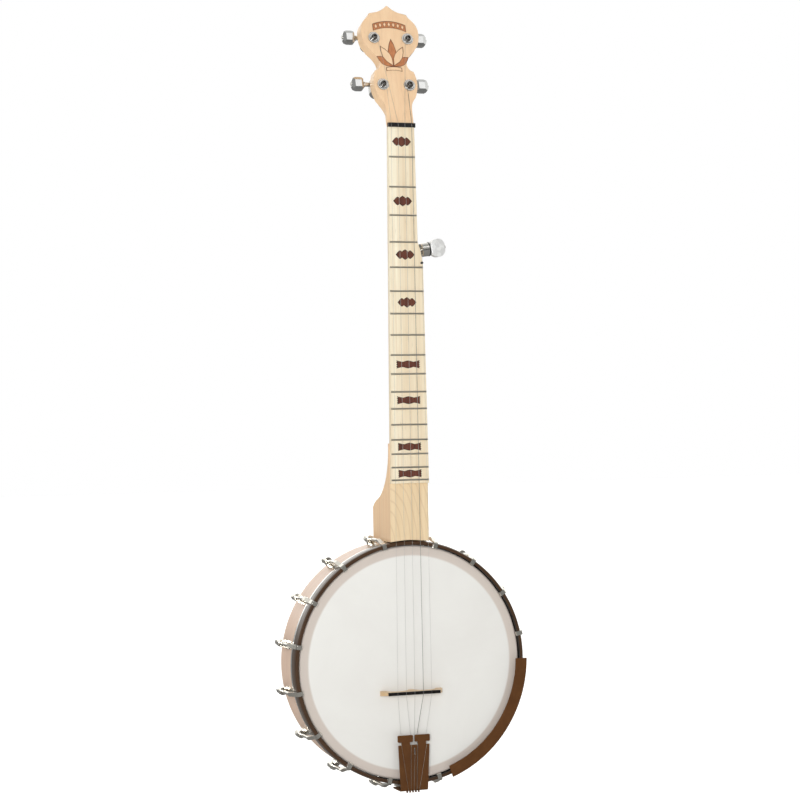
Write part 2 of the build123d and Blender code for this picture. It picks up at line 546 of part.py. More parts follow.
# =========================== tailpiece ===========================
TAB_Z0, TAB_Z1 = -92.3, -84.3
TAB_X, TAB_W = 10.6, 18.7     # middle and width of each tab
LINK_X, LINK_HALF = 10.1, 5.05
BODY_Z0, BODY_Z1 = -147.5, -95.9
FLANGE_Z0, FLANGE_Z1 = -150.0, -148.2
FLANGE_HALF = 17.0
BEND_IN = 0.7
BEND_OUT = BEND_IN + TAIL_T
SLOT_X0, SLOT_X1 = 0.0, 2.0   # slot that the middle string goes down through
SLOT_Z0, SLOT_Z1 = -107.3, -99.3
RIVET_X, RIVET_Y = 5.0, FRONT + 14.0
body_points = [(-19.3, 0, BODY_Z1), (19.3, 0, BODY_Z1), (FLANGE_HALF, 0, BODY_Z0), (-FLANGE_HALF, 0, BODY_Z0)]
tail = extrude(make_face(Polyline(*body_points, close=True)), TAIL_T, dir=(0, 1, 0))
tail -= box(SLOT_X0, SLOT_X1, -1, TAIL_T + 1, SLOT_Z0, SLOT_Z1)
for side in (-1, 1):
    link = side * LINK_X
    tail += box(link - LINK_HALF, link + LINK_HALF, 0, TAIL_T, BODY_Z1 - 1, TAB_Z0 + 1)
    tab = extrude(RectangleRounded(TAB_W, TAB_Z1 - TAB_Z0, 1.2), TAIL_T)
    tail += Pos(side * TAB_X, 0, (TAB_Z0 + TAB_Z1) / 2) * Rot(-90, 0, 0) * tab
bend_corners = [(BEND_OUT, -FLANGE_HALF), (BEND_IN, -FLANGE_HALF), (BEND_IN, FLANGE_HALF), (BEND_OUT, FLANGE_HALF)]
bend = ring(*bend_corners)
bend = Pos(0, BEND_OUT, BODY_Z0) * Rot(0, 0, 90) * bend
bend = bend & box(-FLANGE_HALF, FLANGE_HALF, -0.1, BEND_OUT, BODY_Z0 - 3, BODY_Z0)
tail += bend
tail += box(-FLANGE_HALF, FLANGE_HALF, BEND_OUT, 27.0, FLANGE_Z0, FLANGE_Z1)
tail = Pos(0, TAIL_Y, 0) * tail
pins_x = [-0.8 + 3.6 * (i - 2) for i in range(5)]
for x in pins_x:
    tail += along_z(1.1, FLANGE_Z0 - 2.2, FLANGE_Z0 + 0.5, x=x, y=TAIL_Y + 3.6)
for x in (-RIVET_X, RIVET_X):
    tail -= along_z(1.6, FLANGE_Z0 - 1, FLANGE_Z1 + 1, x=x, y=RIVET_Y)
save("tailpiece", tail)
bracket = box(-8, 8, FRONT + 8.0, FRONT + 59.0, -148.2, -146.6)
bracket = fillet(bracket.edges().filter_by(Axis.Z), 2.0)
bracket -= along_z(2.6, -149, -146, y=ROD_Y)
fixings = []
for x in (-RIVET_X, RIVET_X):
    bracket -= along_z(1.6, -149, -146, x=x, y=RIVET_Y)
    pin = along_z(1.5, FLANGE_Z0, -145.8, x=x, y=RIVET_Y)
    pin += along_z(2.7, FLANGE_Z0 - 1.6, FLANGE_Z0, x=x, y=RIVET_Y)
    fixings.append(pin)
save("tailpiece_bracket", bracket)
save("tailpiece_fixings", *fixings)

# =========================== armrest ===========================
ARM_A0, ARM_A1 = 90.6, 160.3
ARM_IN, ARM_OUT = 131.6, 145.6
ARM_BACK, ARM_FRONT = FRONT - 2.5, FRONT - 4.5
ARM_EDGE = 0.5                # bevel round the front face
arm_face = make_face(Polyline(
    (ARM_IN, ARM_BACK), (ARM_OUT, ARM_BACK), (ARM_OUT, ARM_FRONT + ARM_EDGE), (ARM_OUT - ARM_EDGE, ARM_FRONT),
    (ARM_IN + ARM_EDGE, ARM_FRONT), (ARM_IN, ARM_FRONT + ARM_EDGE), close=True))
armrest = turned(ARM_A0 - 90, revolve(arm_face, Axis.Y, ARM_A1 - ARM_A0))
clip_points = [(143.7, ARM_BACK), (144.9, ARM_BACK), (144.9, FRONT + 15.4), (140.8, FRONT + 15.4),
               (140.8, FRONT + 13.8), (143.7, FRONT + 13.8)]
clip = plate_yz(clip_points, 10.0) - Pos(0, FRONT + 9.0, 145) * Cylinder(1.5, 8)
clip_screw = Pos(0, FRONT + 9.0, 143.55) * extrude(Circle(1.45), 1.4)
clip_screw += Pos(0, FRONT + 9.0, 144.9) * hexagon(4.5, 1.8)
CLIP_ANGLES = (111.4, 133.4)
save("armrest", armrest)
save("armrest_brackets", *[turned(a, clip) for a in CLIP_ANGLES])
save("armrest_screws", *[turned(a, clip_screw) for a in CLIP_ANGLES])

# =========================== strings ===========================
def wire(points, radius, sides=8):
    """Many-sided wire with mitred bends through the points."""
    spine = [Vector(*p) for p in points]
    ways = [(q - p).normalized() for p, q in zip(spine, spine[1:])]
    start = Plane(origin=spine[0], z_dir=ways[0])
    rings = [[(start * Pos(radius * cos(2 * pi * k / sides), radius * sin(2 * pi * k / sides), 0)).position
              for k in range(sides)]]
    for i, way in enumerate(ways):
        last = i == len(ways) - 1
        normal = way if last else (way + ways[i + 1]).normalized()
        rings.append([v + way * ((spine[i + 1] - v).dot(normal) / way.dot(normal)) for v in rings[-1]])
    faces = [Face(Wire.make_polygon(rings[0])), Face(Wire.make_polygon(rings[-1]))]
    for low, high in zip(rings, rings[1:]):
        for k in range(sides):
            j = (k + 1) % sides
            faces.append(Face(Wire.make_polygon([low[k], low[j], high[j], high[k]])))
    return Solid(Shell(faces))


def coil(frame, x, y, z, radius, start, step, turn):
    """Points of a coil about the local Y axis: three turns from the start angle, step along Y per turn."""
    points = []
    for k in range(37):
        t = start + turn * 2 * pi * k / 12
        points.append(tuple(at(frame, x + radius * cos(t), y + step * k / 12, z + radius * sin(t))))
    return points


weave_x = (-15.6, -3.5, 1.0, 4.6, 16.0)
for i in range(5):
    d = STRING_D[i]
    r = d / 2
    front_y = TAIL_Y - r - 0.02
    under_y = TAIL_Y + TAIL_T + r + 0.05
    bend_r = (BEND_OUT + r + 0.03) / cos(pi / 16)
    points = []
    for k in range(5):
        t = pi / 2 * (1 - k / 4)
        points.append((pins_x[i], TAIL_Y + BEND_OUT - bend_r * cos(t), BODY_Z0 - bend_r * sin(t)))
    if i == 2:
        points.append((weave_x[i], front_y, SLOT_Z0 + 2.0))
        points.append((weave_x[i], under_y, SLOT_Z1 - 2.0))
        points.append((0.9 * weave_x[i], under_y, BODY_Z1 + 0.3))
    else:
        points.append((weave_x[i], front_y, BODY_Z1 + 0.3))
        points.append((weave_x[i], under_y, TAB_Z0 - 0.3))
        points.append((weave_x[i], under_y, TAB_Z1 + 0.3))
    notch = BRIDGE_TOP + SLOT_D - r - 0.03
    points.append((bridge_x[i], notch, BRIDGE_Z - CAP_HALF - 0.15))
    points.append((bridge_x[i], notch, BRIDGE_Z + CAP_HALF + 0.15))
    if i < 4:
        nut_y = NUT_TOP + SLOT_D - r - 0.03
        points.append(tuple(at(NECK, slots_x[i], nut_y, -NUT_DOWN - 0.1)))
        points.append(tuple(at(NECK, slots_x[i], nut_y, NUT_UP + 0.1)))
        x, z = POSTS[i]
        inner = 1 if x < 0 else -1
        start = 0.0 if x < 0 else pi
        points.extend(coil(PEG, x, -2.9, z, POST_R + 0.35 + r, start, -(d + 0.04), inner))
    else:
        points.append(tuple(at(NECK, PIP_X, -1.4 - r - 0.03, -PIP_S - 1.5)))
        points.append(tuple(at(NECK, PIP_X, -1.4 - r - 0.03, -PIP_S + 1.5)))
        points.append((19.8, FRONT - 2.6, Z_NUT - 151.6))
        side_on = FIFTH * Rot(0, 0, -90)
        points.extend(coil(side_on, 0, 19.8, 0, F5_POST_R + 0.35 + r, 0.0, d + 0.04, 1))
    line = wire(points, r)
    save(f"string_{i + 1}", line)
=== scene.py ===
"""Left-handed five-string open-back banjo: materials, ornament, light and camera around the CAD frame."""
import math

import bmesh
import bpy
from mathutils import Matrix, Vector


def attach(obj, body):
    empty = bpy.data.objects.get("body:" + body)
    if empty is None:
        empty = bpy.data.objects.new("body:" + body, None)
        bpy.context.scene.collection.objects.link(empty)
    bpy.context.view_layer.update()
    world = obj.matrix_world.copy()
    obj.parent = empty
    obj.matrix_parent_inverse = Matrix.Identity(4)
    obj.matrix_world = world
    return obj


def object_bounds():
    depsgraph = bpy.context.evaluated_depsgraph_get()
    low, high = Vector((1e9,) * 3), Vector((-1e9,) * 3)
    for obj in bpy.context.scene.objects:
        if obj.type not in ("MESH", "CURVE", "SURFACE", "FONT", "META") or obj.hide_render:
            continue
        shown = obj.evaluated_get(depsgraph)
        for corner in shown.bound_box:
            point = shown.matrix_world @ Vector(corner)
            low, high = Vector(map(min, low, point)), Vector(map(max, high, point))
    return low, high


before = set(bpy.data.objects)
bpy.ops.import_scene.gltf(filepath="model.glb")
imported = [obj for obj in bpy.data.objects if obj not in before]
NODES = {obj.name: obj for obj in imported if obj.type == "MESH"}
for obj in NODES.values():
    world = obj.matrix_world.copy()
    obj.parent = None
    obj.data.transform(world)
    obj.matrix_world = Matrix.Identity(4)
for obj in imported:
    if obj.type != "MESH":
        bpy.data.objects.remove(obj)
CAD_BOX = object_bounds()
BODY = "instrument"
MM = 0.001

# Sizes that the materials need from the CAD, in metres
SCOOP_TOP = 0.2155            # the neck is hollowed out below this height
RIM_BORE = 0.1255
RIM_MIDDLE = 0.14             # radius used to unroll the rim's grain
HALF_PLY = 0.00237
HOOP_BORE_FACE = 0.1388       # just outside the tension hoop's bore; nearer the axis than this the hoop is painted nearly black as shade


# ------------------------------------------------------------------ small helpers
def srgb(red, green, blue):
    """Linear colour from 0..255 display values."""
    def linear(value):
        value /= 255.0
        return value / 12.92 if value <= 0.04045 else ((value + 0.055) / 1.055) ** 2.4
    return (linear(red), linear(green), linear(blue), 1.0)


def scaled(colour, factor):
    """The same colour made darker or lighter."""
    return tuple(min(1.0, channel * factor) for channel in colour[:3]) + (1.0,)


class Shader:
    """One node-based material with short calls for the nodes it needs."""

    def __init__(self, name, **sockets):
        self.material = bpy.data.materials.new(name)
        self.material.use_nodes = True
        self.nodes = self.material.node_tree.nodes
        self.links = self.material.node_tree.links
        self.bsdf = self.nodes["Principled BSDF"]
        for key, value in sockets.items():
            self.bsdf.inputs[key.replace("_", " ")].default_value = value
        self.place = self.nodes.new("ShaderNodeTexCoord").outputs["Object"]

    def link(self, output, target):
        self.links.new(output, target)

    def value(self, target, source):
        """Set a socket from another socket or from a plain value."""
        if isinstance(source, bpy.types.NodeSocket):
            self.link(source, target)
        else:
            target.default_value = source

    def stretched(self, scale, source=None, turn=(0, 0, 0)):
        mapping = self.nodes.new("ShaderNodeMapping")
        mapping.inputs["Scale"].default_value = scale
        mapping.inputs["Rotation"].default_value = turn
        self.link(source or self.place, mapping.inputs["Vector"])
        return mapping.outputs["Vector"]

    def noise(self, vector, scale=1.0, detail=4.0, rough=0.55, distortion=0.0):
        node = self.nodes.new("ShaderNodeTexNoise")
        node.inputs["Scale"].default_value = scale
        node.inputs["Detail"].default_value = detail
        node.inputs["Roughness"].default_value = rough
        node.inputs["Distortion"].default_value = distortion
        self.link(vector, node.inputs["Vector"])
        return node.outputs["Fac"]

    def ramp(self, factor, *stops):
        node = self.nodes.new("ShaderNodeValToRGB")
        items = node.color_ramp.elements
        while len(items) < len(stops):
            items.new(0.5)
        for item, (position, colour) in zip(items, stops):
            item.position = position
            item.color = colour if not isinstance(colour, (int, float)) else (colour, colour, colour, 1)
        self.link(factor, node.inputs["Fac"])
        return node.outputs["Color"]

    def mix(self, factor, first, second, blend="MIX"):
        node = self.nodes.new("ShaderNodeMix")
        node.data_type = "RGBA"
        node.blend_type = blend
        self.value(node.inputs["Factor"], factor)
        self.value(node.inputs[6], first)
        self.value(node.inputs[7], second)
        return node.outputs[2]

    def math(self, operation, first, second=0.0):
        node = self.nodes.new("ShaderNodeMath")
        node.operation = operation
        self.value(node.inputs[0], first)
        self.value(node.inputs[1], second)
        return node.outputs[0]

    def length(self, first, second):
        """Distance from two coordinates at a right angle."""
        squares = [self.math("MULTIPLY", side, side) for side in (first, second)]
        return self.math("SQRT", self.math("ADD", *squares))

    def split(self, vector=None):
        node = self.nodes.new("ShaderNodeSeparateXYZ")
        self.link(vector or self.place, node.inputs[0])
        return node.outputs

    def join(self, x, y, z):
        node = self.nodes.new("ShaderNodeCombineXYZ")
        for target, source in zip(node.inputs, (x, y, z)):
            self.value(target, source)
        return node.outputs[0]

    def colour(self, source):
        self.value(self.bsdf.inputs["Base Color"], source)

    def edges(self, radius):
        """Mask that is 1 along sharp edges, from how far a rounded normal leaves the true one."""
        soft = self.nodes.new("ShaderNodeBevel")
        soft.samples = 6
        soft.inputs["Radius"].default_value = radius
        true = self.nodes.new("ShaderNodeNewGeometry").outputs["Normal"]
        dot = self.nodes.new("ShaderNodeVectorMath")
        dot.operation = "DOT_PRODUCT"
        self.link(soft.outputs[0], dot.inputs[0])
        self.link(true, dot.inputs[1])
        return self.ramp(dot.outputs["Value"], (0.8, 1.0), (0.97, 0.0))

    def roughness(self, source, low, high):
        node = self.nodes.new("ShaderNodeMapRange")
        node.inputs["To Min"].default_value = low
        node.inputs["To Max"].default_value = high
        self.link(source, node.inputs["Value"])
        self.link(node.outputs[0], self.bsdf.inputs["Roughness"])

    def bump(self, height, strength, distance, edge=0.0):
        """Fine relief; edge is the radius that sharp corners are softened by, in metres."""
        node = self.nodes.new("ShaderNodeBump")
        if edge:
            soft = self.nodes.new("ShaderNodeBevel")
            soft.samples = 6
            soft.inputs["Radius"].default_value = edge
            self.link(soft.outputs[0], node.inputs["Normal"])
        node.inputs["Strength"].default_value = strength
        node.inputs["Distance"].default_value = distance
        self.link(height, node.inputs["Height"])
        self.link(node.outputs[0], self.bsdf.inputs["Normal"])


def pot_polar(shader):
    """Radius from the pot's axis, and the place unrolled along the rim."""
    x, y, z = shader.split()[:3]
    radius = shader.length(x, z)
    angle = shader.math("ARCTAN2", x, z)
    return radius, shader.join(shader.math("MULTIPLY", angle, RIM_MIDDLE), y, radius)


# ------------------------------------------------------------------ materials
def cut_rings(s, base, light, line):
    """Growth lines, curved about a point low on the left, where the neck is hollowed below the board."""
    centre_left, centre_up = 0.04, 0.13
    rings_per_metre = 520.0
    front_facing = -0.8
    x, y, z = s.split()[:3]
    across = s.math("MULTIPLY", s.math("ADD", x, centre_left), 0.55)
    up = s.math("MULTIPLY", s.math("SUBTRACT", z, centre_up), 0.3)
    away = s.length(across, up)
    drift = s.math("MULTIPLY", s.noise(s.stretched((30, 30, 12)), 1.0, 2.0, 0.5), 0.006)
    rings = s.math("PINGPONG", s.math("MULTIPLY", s.math("ADD", away, drift), rings_per_metre), 1.0)
    hollow = s.mix(s.ramp(rings, (0.0, 0.3), (0.3, 0.0)), light, line)
    facing = s.split(s.nodes.new("ShaderNodeNewGeometry").outputs["Normal"])[1]
    front = s.math("LESS_THAN", facing, front_facing)
    low = s.math("LESS_THAN", z, SCOOP_TOP)
    return s.mix(s.math("MULTIPLY", front, low), base, hollow)


def wood(name, light, dark, along=(230, 230, 5), contrast=1.0, figure=0.0, scoop=False):
    """Maple under satin lacquer: streaks, broad tone, flecks, and growth lines if figure is above 0."""
    s = Shader(name, Coat_Weight=0.25, Coat_Roughness=0.22)
    streaks = s.noise(s.stretched(along), 1.0, 6.0, 0.62, 0.25)
    broad = s.noise(s.stretched(tuple(a * 0.16 for a in along)), 1.0, 3.0, 0.5, 0.6)
    flecks = s.noise(s.stretched(tuple(a * (2.6 if a > 50 else 9.0) for a in along)), 1.0, 3.0, 0.7)
    base = s.mix(s.ramp(streaks, (0.36, 0.0), (0.68, 0.62 * contrast)), light, dark)
    base = s.mix(s.ramp(broad, (0.35, 0.0), (0.7, 0.5 * contrast)), base, dark)
    fleck_colour = scaled(dark, 0.62)
    base = s.mix(s.ramp(flecks, (0.62, 0.0), (0.8, 0.45 * contrast)), base, fleck_colour)
    if figure:
        field = s.noise(s.stretched(tuple(a * 0.11 for a in along)), 1.0, 1.5, 0.4, 0.3)
        rings = s.math("PINGPONG", s.math("MULTIPLY", field, 20.0), 1.0)
        base = s.mix(s.ramp(rings, (0.0, figure), (0.22, 0.0)), base, fleck_colour)
    if scoop:
        tone = s.mix(s.ramp(streaks, (0.36, 0.0), (0.68, 0.7)), srgb(242, 218, 180), srgb(226, 198, 156))
        base = cut_rings(s, base, tone, fleck_colour)
    s.colour(base)
    s.roughness(streaks, 0.36, 0.5)
    s.bump(streaks, 0.12, 0.0002, edge=0.0006)
    return s.material


def rim_wood():
    """Three bent plies: grain runs round the rim, with a thin glue line at each joint."""
    s = Shader("rim_maple", Coat_Weight=0.3, Coat_Roughness=0.2)
    radius, unrolled = pot_polar(s)
    streaks = s.noise(s.stretched((6, 260, 260), unrolled), 1.0, 6.0, 0.6, 0.2)
    broad = s.noise(s.stretched((3, 30, 30), unrolled), 1.0, 3.0, 0.5, 0.5)
    base = s.mix(s.ramp(streaks, (0.35, 0.0), (0.7, 0.6)), srgb(240, 210, 188), srgb(217, 183, 161))
    base = s.mix(s.ramp(broad, (0.35, 0.0), (0.75, 0.45)), base, srgb(212, 177, 155))
    ply = s.math("PINGPONG", s.math("SUBTRACT", radius, RIM_BORE), HALF_PLY)
    line = s.ramp(s.math("MULTIPLY", ply, 1 / HALF_PLY), (0.86, 0.0), (0.95, 0.55))
    y = s.split()[1]
    edge_on = s.ramp(s.math("ADD", s.math("MULTIPLY", y, 400.0), 1.0), (0.3, 0.0), (0.6, 1.0))
    base = s.mix(s.math("MULTIPLY", line, edge_on), base, srgb(150, 118, 88))
    s.colour(base)
    s.roughness(streaks, 0.34, 0.48)
    s.bump(streaks, 0.1, 0.0002, edge=0.0008)
    return s.material


def metal(name, colour, low, high, grain=160.0, bump=0.02, outline=0.0, **sockets):
    """Plated or polished metal with faint handling marks; outline paints shade along its edges and corners.
    """
    s = Shader(name, Metallic=1.0, **sockets)
    cloud = s.noise(s.stretched((grain, grain, grain)), 1.0, 4.0, 0.6)
    fine = s.noise(s.stretched((grain * 7, grain * 7, grain * 7)), 1.0, 3.0, 0.6)
    base = s.mix(s.ramp(cloud, (0.35, 0.0), (0.75, 0.5)), colour, scaled(colour, 0.82))
    # Painted shade: sharp edges and corners are darkened to nearly black, as shade and dark reflections would
    # make them.
    if outline:
        base = s.mix(s.math("MULTIPLY", s.edges(0.00035), outline), base, scaled(colour, 0.16))
    s.colour(base)
    s.roughness(cloud, low, high)
    s.bump(fine, bump, 0.0002, edge=0.0003)
    return s.material


def paint(name, colour, worn, low, high, coat, specular, grain=60.0, painted_shade_inside=0.0, coat_ior=1.5):
    """Baked dark finish on metal, slightly mottled, with lighter edges that are partly rubbed paint and
    partly a painted highlight; nearer the pot's axis than the given radius it is painted nearly black as
    shade.
    """
    s = Shader(name, Coat_Weight=coat, Coat_Roughness=0.1, Coat_IOR=coat_ior, Specular_IOR_Level=specular)
    cloud = s.noise(s.stretched((grain, grain, grain)), 1.0, 5.0, 0.6)
    fine = s.noise(s.stretched((1400, 1400, 1400)), 1.0, 2.0, 0.5)
    base = s.mix(s.ramp(cloud, (0.35, 0.0), (0.75, 0.7)), colour, worn)
    # Lighter edges: partly rubbed paint, and partly a painted highlight where the rounded edges would catch
    # the light.
    rubbed_and_highlit_edges = s.math("MULTIPLY", s.edges(0.0005), 0.55)
    base = s.mix(rubbed_and_highlit_edges, base, scaled(worn, 2.6))
    # Painted shade: the hoop's inner wall, facing the head, is coloured nearly black as if in shadow.
    if painted_shade_inside:
        painted_shade_mask = s.math("LESS_THAN", pot_polar(s)[0], painted_shade_inside)
        base = s.mix(painted_shade_mask, base, srgb(22, 14, 9))
    s.colour(base)
    s.roughness(cloud, low, high)
    s.bump(fine, 0.06, 0.00015, edge=0.0004)
    return s.material


def membrane():
    """Frosted coated film: faint mottling, and the wood showing through it over the rim."""
    s = Shader("membrane", Specular_IOR_Level=0.35)
    radius = pot_polar(s)[0]
    cloud = s.noise(s.stretched((9, 9, 9)), 1.0, 5.0, 0.6, 0.4)
    grain = s.noise(s.stretched((900, 900, 900)), 1.0, 3.0, 0.6)
    base = s.mix(s.ramp(cloud, (0.3, 0.0), (0.75, 1.0)), srgb(239, 238, 234), srgb(232, 230, 226))
    outward = s.math("MULTIPLY", s.math("SUBTRACT", radius, 0.120), 50.0)
    over_rim = s.ramp(outward, (0.25, 0.0), (0.36, 1.0))
    base = s.mix(over_rim, base, srgb(212, 201, 192))
    s.colour(base)
    s.roughness(grain, 0.5, 0.62)
    s.bump(grain, 0.08, 0.0001)
    return s.material


def plastic(name, colour, second, low, high, grain=300.0, **sockets):
    """Smooth dark plastic or polished ebony with a faint mottle."""
    s = Shader(name, **sockets)
    cloud = s.noise(s.stretched((grain, grain, grain)), 1.0, 4.0, 0.6)
    s.colour(s.mix(s.ramp(cloud, (0.35, 0.0), (0.7, 1.0)), colour, second))
    s.roughness(cloud, low, high)
    s.bump(cloud, 0.05, 0.0001)
    return s.material


def pearl():
    """Pearloid: pale curled patches with sharp tone changes."""
    s = Shader("pearl", Coat_Weight=0.6, Coat_Roughness=0.08, Roughness=0.35)
    warp = s.noise(s.stretched((110, 110, 110)), 1.0, 2.0, 0.5, 1.6)
    base = s.mix(s.ramp(warp, (0.4, 0.0), (0.56, 1.0)), srgb(231, 231, 230), srgb(213, 213, 212))
    s.colour(base)
    s.bump(warp, 0.02, 0.0001, edge=0.0006)
    return s.material


def burnt(name, colour, second):
    """Wood darkened by a hot tool, with the grain still showing."""
    s = Shader(name, Roughness=0.5, Coat_Weight=0.15, Coat_Roughness=0.3)
    streaks = s.noise(s.stretched((700, 700, 40)), 1.0, 4.0, 0.6)
    s.colour(s.mix(s.ramp(streaks, (0.35, 0.0), (0.68, 1.0)), colour, second))
    s.bump(streaks, 0.15, 0.0001)
    return s.material


NECK_WOOD = wood("neck_maple", srgb(254, 219, 178), srgb(242, 199, 155), contrast=0.75, figure=0.13,
                 scoop=True)
BOARD_WOOD = wood("board_maple", srgb(255, 246, 222), srgb(232, 210, 175), contrast=1.35)
BRIDGE_WOOD = wood("bridge_maple", srgb(226, 196, 156), srgb(200, 165, 122), along=(6, 260, 260))
RIM_WOOD = rim_wood()
# outline sets how strongly painted shade darkens each metal's edges and corners.
NICKEL = metal("nickel_plate", (0.77, 0.74, 0.68, 1), 0.16, 0.28, outline=0.8)
ALUMINIUM = metal("bright_aluminium", (0.9, 0.9, 0.89, 1), 0.12, 0.22)
CHROME = metal("tuner_chrome", (0.76, 0.74, 0.7, 1), 0.12, 0.24, outline=0.5)
SATIN_CHROME = metal("button_chrome", (0.7, 0.7, 0.695, 1), 0.09, 0.18, outline=0.5)
HOUSING = metal("housing_chrome", (0.7, 0.69, 0.67, 1), 0.16, 0.28, outline=0.4)
BUSHING = metal("bushing_chrome", (0.54, 0.53, 0.51, 1), 0.1, 0.2, outline=0.85)
STEEL = metal("dark_steel", (0.2, 0.19, 0.18, 1), 0.3, 0.45)
FRET = metal("fret_wire", (0.5, 0.47, 0.41, 1), 0.24, 0.36)
STRING = metal("string_steel", (0.55, 0.54, 0.52, 1), 0.3, 0.42)
WOUND = metal("string_wound", (0.3, 0.29, 0.275, 1), 0.3, 0.45)
# The hoop's inner wall, inside HOOP_BORE_FACE, gets painted shade that is nearly black.
HOOP = paint("hoop_brown", srgb(66, 42, 21), srgb(80, 53, 28), 0.28, 0.4, coat=0.7, specular=0.25,
             painted_shade_inside=HOOP_BORE_FACE, coat_ior=1.62)
BROWN = paint("plate_brown", srgb(90, 56, 27), srgb(106, 68, 35), 0.42, 0.55, coat=0.04, specular=0.15)
FILM = membrane()
BLACK = plastic("black_plastic", srgb(20, 20, 21), srgb(32, 32, 33), 0.3, 0.45)
EBONY = plastic("ebony", srgb(14, 12, 11), srgb(24, 20, 18), 0.4, 0.55, Specular_IOR_Level=0.25)
PEARL = pearl()
BURNT_DARK = burnt("burnt_outline", srgb(54, 28, 18), srgb(40, 20, 13))
BURNT_LINE = burnt("burnt_line", srgb(134, 80, 50), srgb(112, 64, 40))
BURNT_RED = burnt("burnt_fill", srgb(118, 60, 40), srgb(74, 38, 27))
BURNT_ORANGE = burnt("burnt_light", srgb(205, 134, 86), srgb(184, 112, 68))

NODE_MATERIALS = {
    "rim": RIM_WOOD, "head": FILM, "head_collar": FILM, "flesh_hoop": ALUMINIUM, "tension_hoop": HOOP,
    "hooks": NICKEL, "hook_nuts": NICKEL, "bracket_shoes": NICKEL, "shoe_bolts": NICKEL,
    "shoe_washers": NICKEL,
    "coordinator_rod": NICKEL, "rod_hardware": NICKEL, "neck_bolts": STEEL, "neck_bolt_nuts": NICKEL,
    "neck": NECK_WOOD, "fingerboard": BOARD_WOOD, "frets": FRET, "nut": BLACK, "fifth_string_nut": BLACK,
    "tuner_bushings": BUSHING, "tuner_housings": HOUSING, "tuner_covers": HOUSING, "tuner_screws": STEEL,
    "fifth_peg_housing": CHROME, "fifth_peg_collar": BLACK, "fifth_peg_post": CHROME,
    "fifth_peg_shaft": CHROME, "fifth_peg_knob": PEARL, "fifth_peg_screw": CHROME,
    "bridge_base": BRIDGE_WOOD, "bridge_cap": EBONY,
    "tailpiece": BROWN, "tailpiece_bracket": STEEL, "tailpiece_fixings": STEEL, "armrest": BROWN,
    "armrest_brackets": STEEL, "armrest_screws": STEEL, "string_1": STRING, "string_2": STRING,
    "string_3": STRING, "string_4": WOUND, "string_5": STRING,
}
for number in range(1, 5):
    NODE_MATERIALS[f"tuner_post_{number}"] = STEEL
    NODE_MATERIALS[f"tuner_shaft_{number}"] = CHROME
    NODE_MATERIALS[f"tuner_button_{number}"] = SATIN_CHROME
    NODE_MATERIALS[f"tuner_button_screw_{number}"] = CHROME


def finish_node(node, material):
    """Give a CAD node its material in every slot."""
    slots = NODES[node].data.materials
    if not slots:
        slots.append(material)
    for index in range(len(slots)):
        slots[index] = material


for node, material in NODE_MATERIALS.items():
    finish_node(node, material)


# ------------------------------------------------------------------ places on the neck and peghead
Z_NUT = 0.6322
Y_NUT = -0.0665
NECK = Matrix.Translation((0, Y_NUT, Z_NUT)) @ Matrix.Rotation(math.radians(-0.65), 4, "X")
PEG = Matrix.Translation((-0.0035, Y_NUT, Z_NUT)) @ Matrix.Rotation(math.radians(-16.5), 4, "X")
SCALE = 0.66675
PROUD = 0.00012
LAYER = 0.00004


def fret_place(number):
    """Distance of a fret below the string nut's zero, in metres."""
    return SCALE * (1 - 2 ** (-number / 12))


def flat_piece(name, matrix, outlines, material, layer=0):
    """Thin pieces just proud of a face, from (x, z) outlines in mm; a higher layer covers a lower."""
    lift = PROUD + layer * LAYER
    mesh = bpy.data.meshes.new(name)
    bm = bmesh.new()
    for outline in outlines:
        verts = [bm.verts.new(matrix @ Vector((x * MM, -lift, z * MM))) for x, z in outline]
        bm.faces.new(verts)
    bmesh.ops.recalc_face_normals(bm, faces=bm.faces)
    bm.normal_update()
    for face in bm.faces:
        if face.normal.y > 0:
            face.normal_flip()
    bmesh.ops.triangulate(bm, faces=bm.faces)
    bm.to_mesh(mesh)
    bm.free()
    piece = bpy.data.objects.new(name, mesh)
    bpy.context.collection.objects.link(piece)
    mesh.materials.append(material)
    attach(piece, BODY)


def mirrored(half):
    """Close a left-right outline from its right half, which starts and ends on the middle line."""
    return half + [(-x, z) for x, z in reversed(half[1:-1])]


def grown(outline, factor_x, factor_z):
    """An outline scaled about its origin."""
    return [(x * factor_x, z * factor_z) for x, z in outline]


# ------------------------------------------------------------------ markers burnt into the board
NUT_EDGE = 0.0015             # the string nut covers the start of the first space
FIRST_BOW = 9                 # spaces from this one down carry bow markers
MARKED_SPACES = (1, 3, 5, 7, 10, 12, 15, 17)


def lobed_marker():
    """Three pointed lobes side by side, the middle one taller."""
    half = [(0, 6.2), (2.6, 4.6), (4.1, 3.2), (4.5, 4.2), (6.6, 5.1), (8.8, 3.4), (11.8, 0),
            (8.8, -3.4), (6.6, -5.1), (4.5, -4.2), (4.1, -3.2), (2.6, -4.6), (0, -6.2)]
    return mirrored(half)


def bow_marker():
    """A waisted bar that widens to notched ends."""
    upper = [(0, 4.6), (3.2, 4.0), (6.5, 3.0), (10.5, 3.7),
             (14.6, 4.8), (13.8, 3.2), (14.9, 2.4), (13.6, 1.2)]
    return mirrored(upper + [(14.7, 0)] + [(x, -z) for x, z in reversed(upper)])


